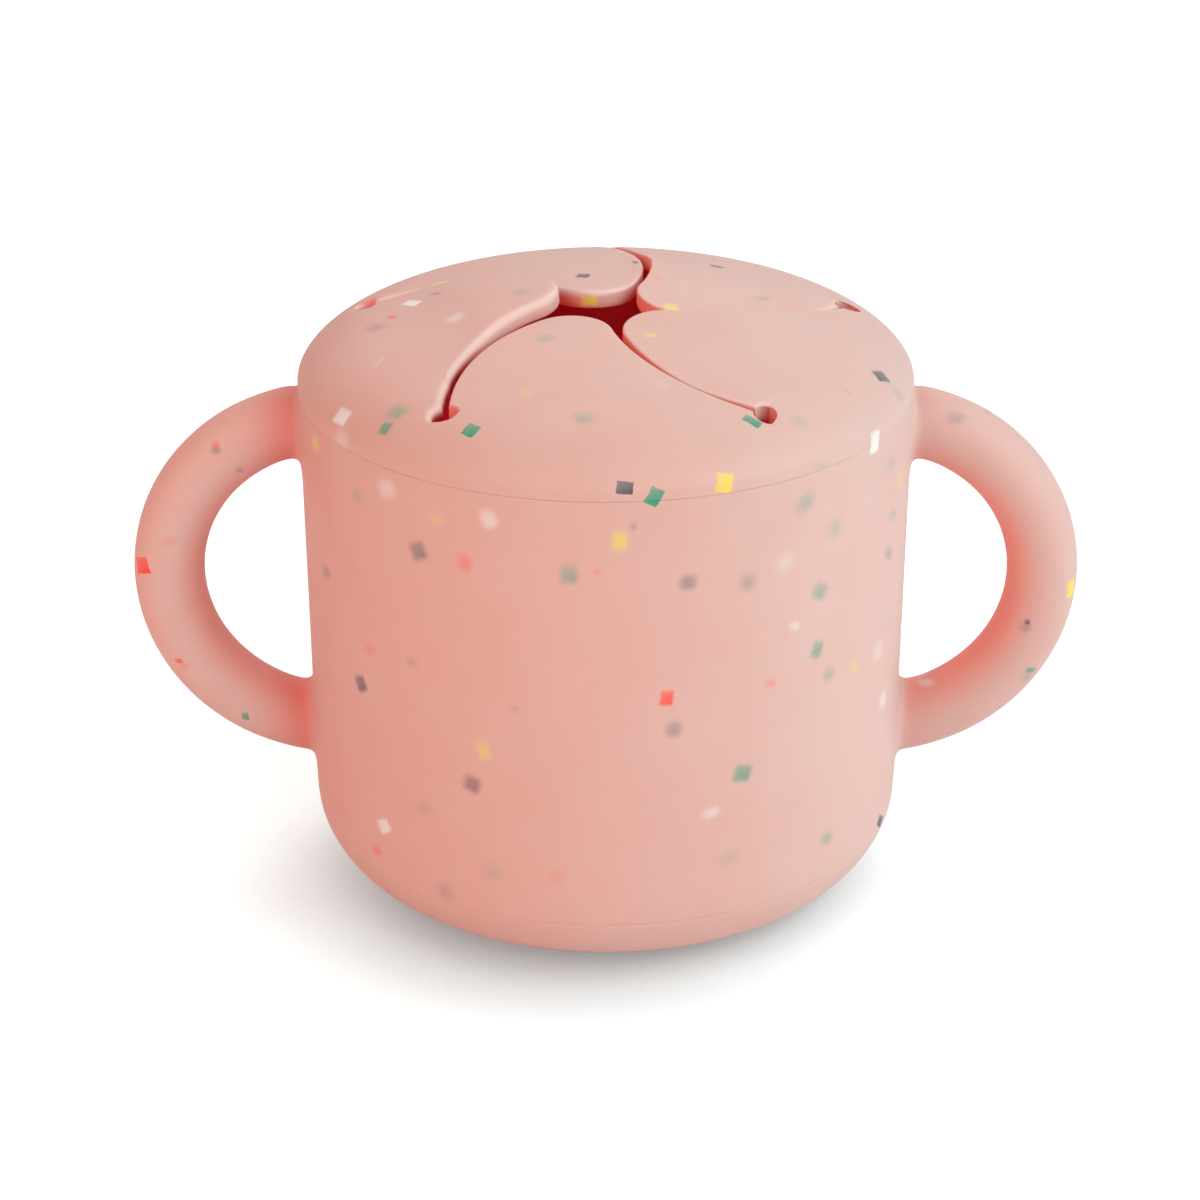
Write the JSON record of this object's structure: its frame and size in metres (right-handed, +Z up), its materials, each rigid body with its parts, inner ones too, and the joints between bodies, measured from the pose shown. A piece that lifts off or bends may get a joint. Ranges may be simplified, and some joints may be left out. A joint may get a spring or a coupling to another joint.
{
  "type": "toddler snack container",
  "caption": "Soft silicone snack cup with a ring handle on each side and a push-on domed lid whose pinwheel-slit flaps let a small hand reach in.",
  "frame": {"origin": "centre of the flat base, on the table", "axes": "+X towards the right handle, +Y to the back, +Z up through the middle of the lid"},
  "size_m": [0.1384, 0.088, 0.0882],
  "materials": {
    "cup": "matt translucent",
    "handles": "matt translucent",
    "lid": "matt translucent",
    "flaps": "matt translucent"
  },
  "bodies": {
    "cup": {"cup_shell": "cup", "handle_left": "handles", "handle_right": "handles"},
    "lid": {"lid_ring": "lid"},
    "flap_front": {"flap_front": "flaps"},
    "flap_right": {"flap_right": "flaps"},
    "flap_back_right": {"flap_back_right": "flaps"},
    "flap_back_left": {"flap_back_left": "flaps"},
    "flap_left": {"flap_left": "flaps"}
  },
  "joints": [
    {"name": "lid_pull", "type": "slide", "parent": "cup", "child": "lid", "axis": [0, 0, 1], "range_m": [0, 0.06]},
    {"name": "flap_front_bend", "type": "hinge", "parent": "lid", "child": "flap_front", "pos_m": [0, -0.02985, 0.08134], "axis": [1, 0, 0], "range_deg": [-50, 35], "stiffness_Nm_per_rad": 0.03},
    {"name": "flap_right_bend", "type": "hinge", "parent": "lid", "child": "flap_right", "pos_m": [0.02839, -0.00923, 0.08134], "axis": [0.309, 0.9511, 0], "range_deg": [-50, 35], "stiffness_Nm_per_rad": 0.03},
    {"name": "flap_back_right_bend", "type": "hinge", "parent": "lid", "child": "flap_back_right", "pos_m": [0.01755, 0.02415, 0.08134], "axis": [-0.809, 0.5878, 0], "range_deg": [-50, 35], "stiffness_Nm_per_rad": 0.03},
    {"name": "flap_back_left_bend", "type": "hinge", "parent": "lid", "child": "flap_back_left", "pos_m": [-0.01755, 0.02415, 0.08134], "axis": [-0.809, -0.5878, 0], "range_deg": [-48, 37], "stiffness_Nm_per_rad": 0.03},
    {"name": "flap_left_bend", "type": "hinge", "parent": "lid", "child": "flap_left", "pos_m": [-0.02839, -0.00923, 0.08134], "axis": [0.309, -0.9511, 0], "range_deg": [-54.4, 30.6], "stiffness_Nm_per_rad": 0.03}
  ]
}
